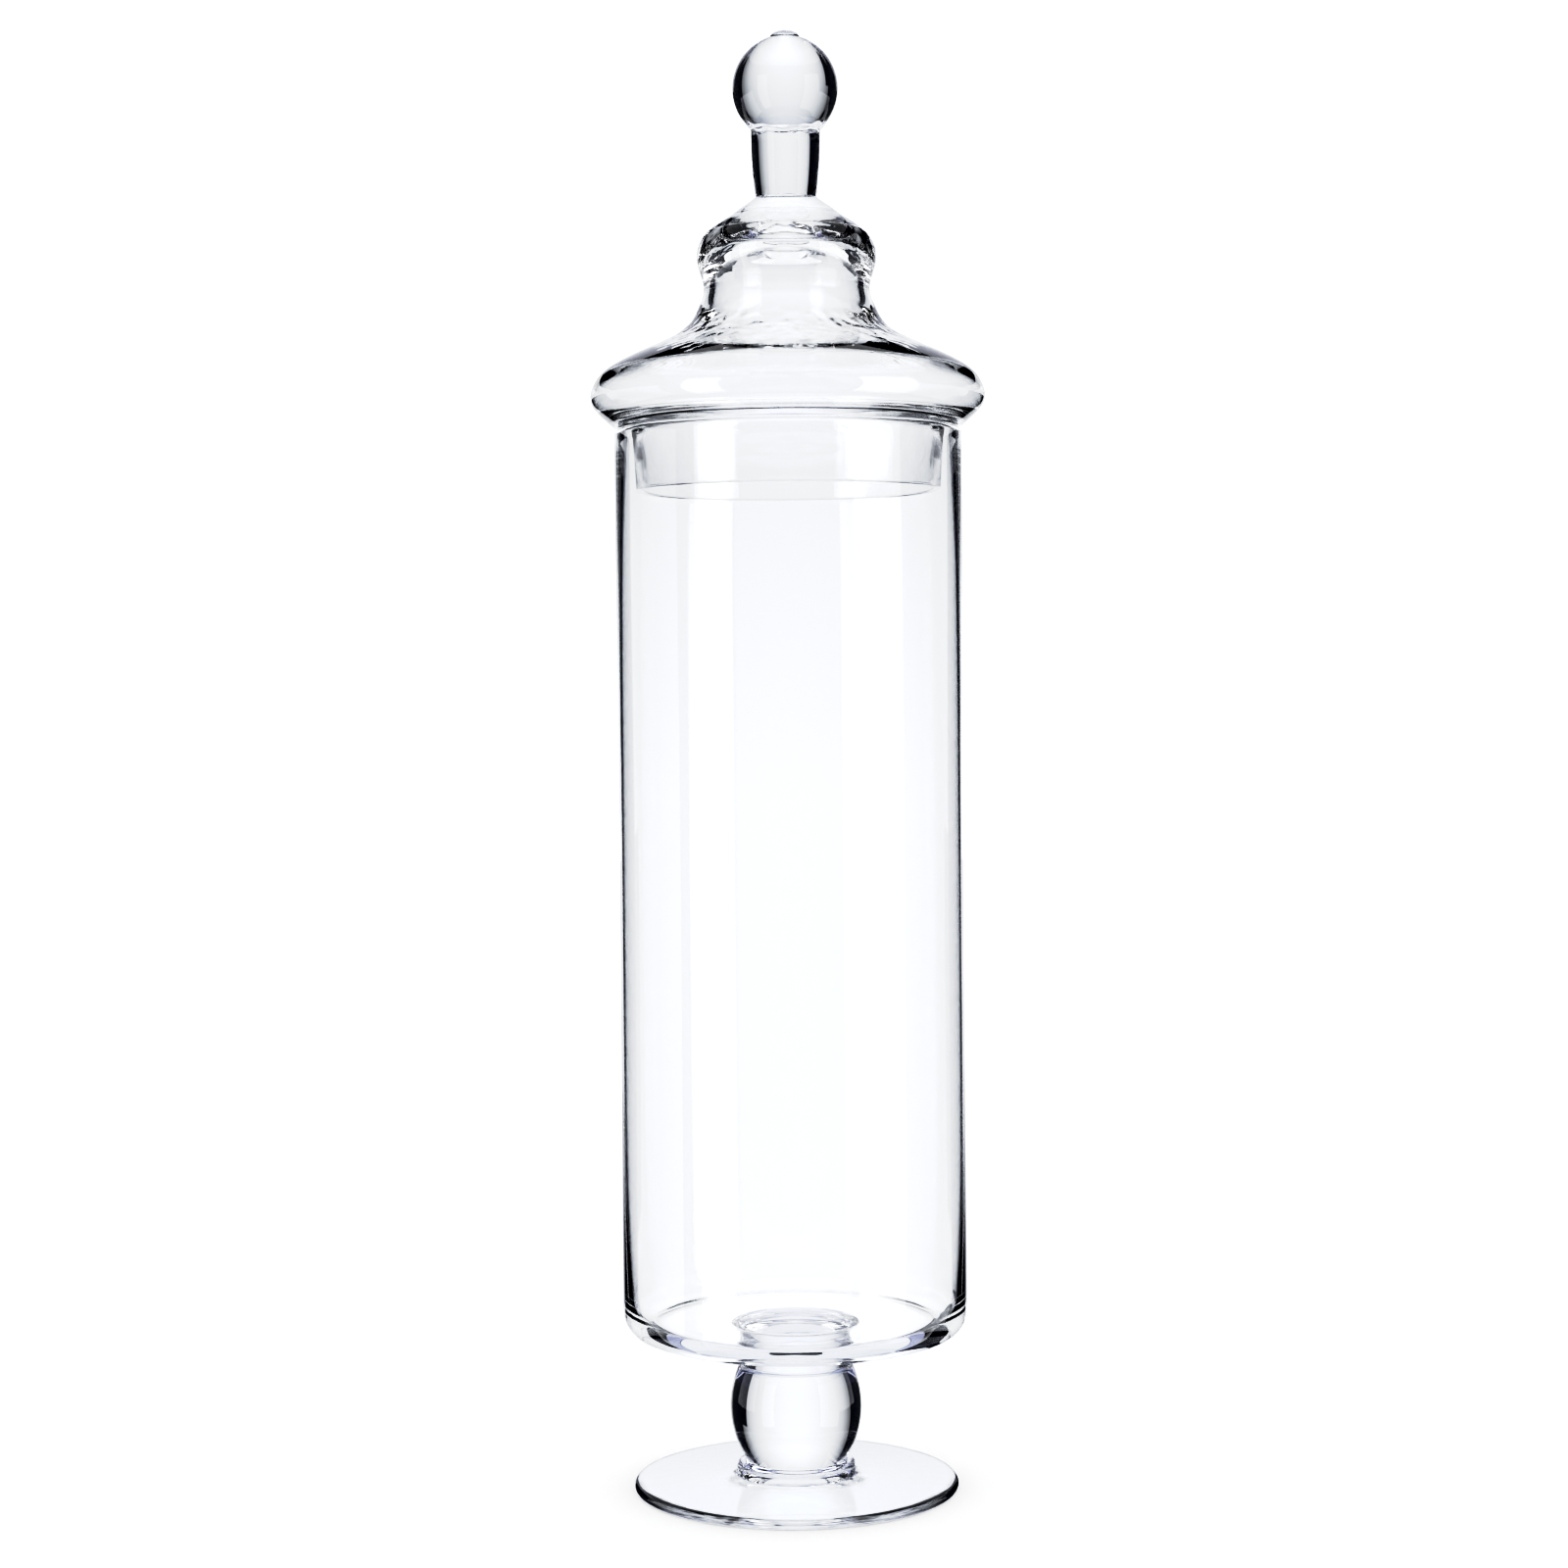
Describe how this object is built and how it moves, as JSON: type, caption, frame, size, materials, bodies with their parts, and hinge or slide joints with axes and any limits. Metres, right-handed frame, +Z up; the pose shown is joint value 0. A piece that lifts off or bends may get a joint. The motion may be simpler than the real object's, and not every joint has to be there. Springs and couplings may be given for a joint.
{
  "type": "footed display jar",
  "caption": "Tall clear glass display jar: a cylinder on a ball stem and round foot, closed by a domed lift-off lid with a hollow plug and a ball finial.",
  "frame": {"origin": "centre of the foot's underside, on the surface that the jar stands on", "axes": "+Z up along the jar's axis of turning, from the foot to the finial; +X and +Y are any two square directions across it"},
  "size_m": [0.137, 0.137, 0.508],
  "materials": {
    "blown_glass": "clear, fire polished, thin blown wall",
    "solid_glass": "clear, fire polished, solid",
    "foot_glass": "clear, fire polished, pressed flat",
    "joint_glass": "clear, creased where gathers were fused"
  },
  "bodies": {
    "jar": {"jar_foot": "foot_glass", "lower_wafer": "joint_glass", "stem_knop": "solid_glass", "upper_wafer": "joint_glass", "jar_body": "blown_glass"},
    "lid": {"lid_shell": "blown_glass", "finial_shoulder": "solid_glass", "finial_stem": "solid_glass", "finial_collar": "joint_glass", "finial_ball": "solid_glass", "finial_pip": "solid_glass"}
  },
  "joints": [
    {"name": "lid_lift", "type": "slide", "parent": "jar", "child": "lid", "axis": [0, 0, 1], "range_m": [0, 0.035]}
  ]
}
